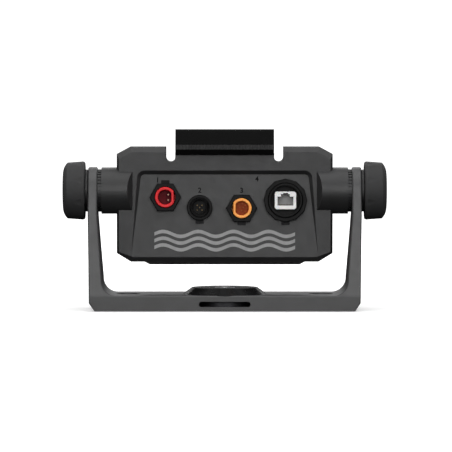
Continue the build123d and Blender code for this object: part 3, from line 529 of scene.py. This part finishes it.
# %% [markdown]
# ## Screws of the docking plate
#
# Six stainless screws hold the docking plate. Each has a low round head with a cross recess, which
# a boolean cuts from the head. One screw is made, then stands on every place in a list.

# %% Cross-recess screws
screw_box = Place("plate_screws")
inner_screw_x = 54 * MM
cross_width, cross_length = 0.9 * MM, 3.4 * MM
cutter_height, cutter_lift = 2.4 * MM, 1.0 * MM  # leaves 0.8 mm of head under the recess


def make_screws():
    """One screw with a cross cut in its head, on six places."""
    sizes = {"Head radius": 3.0 * MM, "Head height": 2.0 * MM, "Shank radius": 1.5 * MM}
    tree, size = start_tree("plate_screw", sizes)
    length = screw_box.size.y
    shank_length = math_node(tree, "SUBTRACT", length, size["Head height"])
    head = add_node(tree, "GeometryNodeMeshCylinder", inputs={
        "Vertices": 40, "Radius": size["Head radius"], "Depth": size["Head height"]})
    subtract = {"operation": "DIFFERENCE", "solver": "EXACT"}
    driven = add_node(tree, "GeometryNodeMeshBoolean", subtract, {"Mesh 1": head.outputs["Mesh"]})
    for blade in ((cross_width, cross_length), (cross_length, cross_width)):
        cut = add_node(tree, "GeometryNodeMeshCube", inputs={"Size": (*blade, cutter_height)})
        lifted = add_node(tree, "GeometryNodeTransform", inputs={
            "Geometry": cut.outputs["Mesh"], "Translation": (0, 0, cutter_lift)})
        tree.links.new(lifted.outputs["Geometry"], driven.inputs["Mesh 2"])
    shank = add_node(tree, "GeometryNodeMeshCylinder", inputs={
        "Vertices": 24, "Radius": size["Shank radius"], "Depth": shank_length})
    below = math_node(tree, "DIVIDE", length, -2.0)
    lowered = add_node(tree, "GeometryNodeTransform", inputs={
        "Geometry": shank.outputs["Mesh"], "Translation": vector(tree, z=below)})
    screw = add_node(tree, "GeometryNodeJoinGeometry")
    tree.links.new(driven.outputs["Mesh"], screw.inputs["Geometry"])
    tree.links.new(lowered.outputs["Geometry"], screw.inputs["Geometry"])
    half_head = math_node(tree, "DIVIDE", size["Head height"], -2.0)
    facing = add_node(tree, "GeometryNodeTransform", inputs={
        "Geometry": screw.outputs["Geometry"], "Rotation": (-math.pi / 2, 0, 0),
        "Translation": vector(tree, y=half_head)})
    row = add_node(tree, "GeometryNodeInstanceOnPoints", inputs={
        "Points": size["Places"], "Instance": facing.outputs["Geometry"]})
    side = screw_box.high.x - sizes["Head radius"]
    top, low = screw_box.high.z - sizes["Head radius"], screw_box.low.z + sizes["Head radius"]
    corners = ((side, low), (side, top), (inner_screw_x, top))
    places = [(x, screw_box.high.y, z) for x, z in corners]
    places += [(-x, y, z) for x, y, z in places]
    return bake("cross_recess_screws", tree, row.outputs["Instances"], stainless, sizes, places)


screws_piece = make_screws()
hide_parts("plate_screws")
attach(screws_piece, "cradle")

# %% [markdown]
# ## Printing on the back
#
# The back carries a light grey print and a small number beside each socket. The print here is a
# plain motif of three waves. Each wave is a thin bar with many cuts along its length, lifted by the
# sine of its distance along the bar, and the three are one bar on three points. The print lies on
# the sloping panel, so it is made flat and then tipped up onto it.

# %% Ink
print_grey = coloured_plastic("light_grey_print", ("#848484", "#8e8e8e"), 0.5, 0.0)
print_dark = coloured_plastic("dark_print", ("#060606", "#0a0a0a"), 0.6, 0.0, 0.05)
print("light and dark ink")

# %% Where the sloping panel is
panel_tilt = math.radians(2.6)
foot_behind_latch = 4.5 * MM
foot_below_axis = 51.3 * MM
panel_foot = Vector((0, latch.low.y + foot_behind_latch, tilt_axis_z - foot_below_axis))
onto_panel = Matrix.Translation(panel_foot) @ Matrix.Rotation(math.pi / 2 - panel_tilt, 4, "X")
print("panel foot in mm:", [round(v / MM, 1) for v in panel_foot])

# %% Wave motif
motif_z = 54.0 * MM  # height of the middle wave
cuts_along = 180


def make_waves():
    """Three wavy bars of ink, lying on the panel with a quarter of their thickness in it."""
    sizes = {"Length": 109 * MM, "Stroke": 2.7 * MM, "Rise": 1.9 * MM, "Wave": 27.25 * MM,
             "Row pitch": 5.2 * MM, "Ink": 0.16 * MM}
    tree, size = start_tree("wave_motif", sizes)
    bar = add_node(tree, "GeometryNodeMeshCube", inputs={"Vertices X": cuts_along})
    tree.links.new(vector(tree, size["Length"], size["Stroke"], size["Ink"]), bar.inputs["Size"])
    along = add_node(tree, "ShaderNodeSeparateXYZ", inputs={
        "Vector": add_node(tree, "GeometryNodeInputPosition").outputs["Position"]}).outputs["X"]
    turns = math_node(tree, "DIVIDE", along, size["Wave"])
    swing = math_node(tree, "SINE", math_node(tree, "MULTIPLY", turns, 2 * math.pi))
    lift = math_node(tree, "MULTIPLY", swing, size["Rise"])
    wave = add_node(tree, "GeometryNodeSetPosition", inputs={
        "Geometry": bar.outputs["Mesh"], "Offset": vector(tree, y=lift)})
    rows = add_node(tree, "GeometryNodeMeshLine", inputs={"Count": 3})
    tree.links.new(vector(tree, y=size["Row pitch"]), rows.inputs["Offset"])
    motif = add_node(tree, "GeometryNodeInstanceOnPoints", inputs={
        "Points": rows.outputs["Mesh"], "Instance": wave.outputs["Geometry"]})
    piece = bake("wave_motif", tree, motif.outputs["Instances"], print_grey, sizes)
    middle_up = motif_z - panel_foot.z
    flat = Matrix.Translation((0, middle_up - sizes["Row pitch"], sizes["Ink"] / 4))
    piece.data.transform(onto_panel @ flat)
    return piece


waves = make_waves()
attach(waves, "cradle")

# %% Socket numbers
figure_size = 5.4 * MM
stroke_gain = 0.1 * MM
figure_ink = 0.06 * MM  # half the thickness of the ink
number_shift_mm = {  # aside and above the middle of the socket
    "power": (-6.0, 13.6), "bus": (0.0, 13.6), "sonar": (0.0, 14.0), "network": (-22.0, 16.8)}


def make_number(text, x, z):
    """One printed figure on the panel, riding with the cradle."""
    curve = bpy.data.curves.new("number_" + text, "FONT")
    curve.body = text
    curve.size = figure_size
    curve.offset = stroke_gain
    curve.extrude = figure_ink
    curve.align_x = "CENTER"
    curve.align_y = "CENTER"
    writer = bpy.data.objects.new("number_writer", curve)
    bpy.context.scene.collection.objects.link(writer)
    evaluated = writer.evaluated_get(bpy.context.evaluated_depsgraph_get())
    mesh = bpy.data.meshes.new_from_object(evaluated)
    bpy.data.objects.remove(writer)
    mesh.transform(onto_panel @ Matrix.Translation((x, z - panel_foot.z, figure_ink / 2)))
    mesh.materials.clear()
    mesh.materials.append(print_dark)
    piece = bpy.data.objects.new("socket_number_" + text, mesh)
    bpy.context.scene.collection.objects.link(piece)
    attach(piece, "cradle")


for count, (socket_name, (aside, above)) in enumerate(number_shift_mm.items(), start=1):
    socket = Place(socket_name + "_socket").middle
    make_number(str(count), socket.x + aside * MM, socket.z + above * MM)
print("four socket numbers")

# %% [markdown]
# ## Floor, light and camera
#
# Small black products are shown on a white sweep, with a long lens from a little above, so that
# upright edges stay parallel. A wide soft box overhead draws the bright line along the top of each
# round part, and a fainter one in front lifts the dark faces just enough to read their shape.

# %% Floor
# The floor's glow is painted light. It is weaker under the object than far from it, which paints the
# floor round the object darker.
glow_near, glow_far = 0.34, 1.05  # under the object, and far from it
glow_starts, glow_full = 0.2, 0.8  # metres from the middle


def make_floor():
    """A wide white floor with a painted glow that the camera alone sees. The glow is weaker near the
    middle, a painted shade round the object, and strong far off, so it burns out to pure white.
    """
    mesh = bpy.data.meshes.new("floor")
    half = 12.0
    corners = [(-half, -half, 0), (half, -half, 0), (half, half, 0), (-half, half, 0)]
    mesh.from_pydata(corners, [], [(0, 1, 2, 3)])
    floor = bpy.data.objects.new("floor", mesh)
    bpy.context.scene.collection.objects.link(floor)
    material, tree, output, where = new_material("white_sweep")
    seen = add_node(tree, "ShaderNodeLightPath").outputs["Is Camera Ray"]
    far = add_node(tree, "ShaderNodeVectorMath", {"operation": "LENGTH"}, {0: where})
    painted_glow_by_distance = add_node(tree, "ShaderNodeMapRange", inputs={
        "Value": far.outputs["Value"], "From Min": glow_starts, "From Max": glow_full,
        "To Min": glow_near, "To Max": glow_far})
    shader = add_node(tree, "ShaderNodeBsdfPrincipled", inputs={
        "Base Color": two_tone(tree, noise(tree, where, 400), "#e4e4e4", "#e8e8e8"),
        "Emission Color": (1, 1, 1, 1),
        "Emission Strength": math_node(tree, "MULTIPLY", seen, painted_glow_by_distance.outputs["Result"]),
        "Roughness": 0.9, "Specular IOR Level": 0.1})
    tree.links.new(shader.outputs["BSDF"], output.inputs["Surface"])
    mesh.materials.append(material)
    floor.visible_diffuse = False
    floor.visible_glossy = False


make_floor()
print("floor glow", glow_near, "to", glow_far)

# %% Lights
aim = Vector((0, 0, 0.08))


def soft_box(name, place, size, power):
    """A rectangular area light, its size in metres, turned towards the object."""
    lamp = bpy.data.lights.new(name, "AREA")
    lamp.shape = "RECTANGLE"
    lamp.size, lamp.size_y = size
    lamp.energy = power
    holder = bpy.data.objects.new(name, lamp)
    holder.location = place
    holder.rotation_euler = (aim - Vector(place)).to_track_quat("-Z", "Y").to_euler()
    bpy.context.scene.collection.objects.link(holder)


soft_box("top_box", (0, -0.3, 1.3), (2.4, 1.6), 20)
soft_box("front_box", (0, -1.7, 0.42), (1.8, 0.8), 18)
soft_box("back_box", (0, 1.6, 1.0), (1.8, 0.8), 8)
for side in (-1, 1):
    soft_box(f"side_box_{side + 1}", (side * 1.5, -0.5, 0.7), (0.6, 0.9), 3)
print("five soft boxes")

# %% [markdown]
# ## The room
#
# A white room would wash the black plastic out to grey. So the background is white only where it is
# looked at directly, and what the object reflects is much dimmer: a little light from above and
# almost none from below, as in a studio with dark flags around the table.

# %% Room
room_below, room_above, room_white = 0.02, 0.3, 1.1


def make_room():
    """A room that is pure white to the camera, and to the object dim above and dark below."""
    world = bpy.data.worlds.new("white_room")
    bpy.context.scene.world = world
    world.use_nodes = True
    tree = world.node_tree
    seen = add_node(tree, "ShaderNodeLightPath").outputs["Is Camera Ray"]
    where = add_node(tree, "ShaderNodeTexCoord").outputs["Generated"]
    height = add_node(tree, "ShaderNodeSeparateXYZ", inputs={"Vector": where}).outputs["Z"]
    dim = add_node(tree, "ShaderNodeMapRange", inputs={
        "Value": height, "From Min": -0.05, "From Max": 0.5,
        "To Min": room_below, "To Max": room_above})
    strength = add_node(tree, "ShaderNodeMix", inputs={
        0: seen, 2: dim.outputs["Result"], 3: room_white})
    background = tree.nodes["Background"]
    background.inputs["Color"].default_value = (1, 1, 1, 1)
    tree.links.new(strength.outputs[0], background.inputs["Strength"])


make_room()
bpy.context.scene.view_settings.view_transform = "Standard"
print("room strength", room_below, "to", room_above, "for the object")

# %% [markdown]
# ## The camera
#
# It stands three metres away, so the near knob and the far edge of the bar are drawn at nearly the
# same size. The lens follows from the distance and the width that the picture has to take in.

# %% Camera
sensor_width = 36  # mm
camera_distance = 3.0
camera_elevation = math.radians(2.1)
frame_width = 0.3512  # metres across the picture at the object
look_at = Vector((0.001, 0, 0.065))

camera = bpy.data.objects.new("camera", bpy.data.cameras.new("camera"))
camera.data.sensor_width = sensor_width
camera.data.lens = sensor_width * camera_distance / frame_width
towards_camera = Vector((0, -math.cos(camera_elevation), math.sin(camera_elevation)))
camera.location = look_at + camera_distance * towards_camera
camera.rotation_euler = (-towards_camera).to_track_quat("-Z", "Y").to_euler()
bpy.context.scene.collection.objects.link(camera)
bpy.context.scene.camera = camera
print("lens", round(camera.data.lens), "mm")
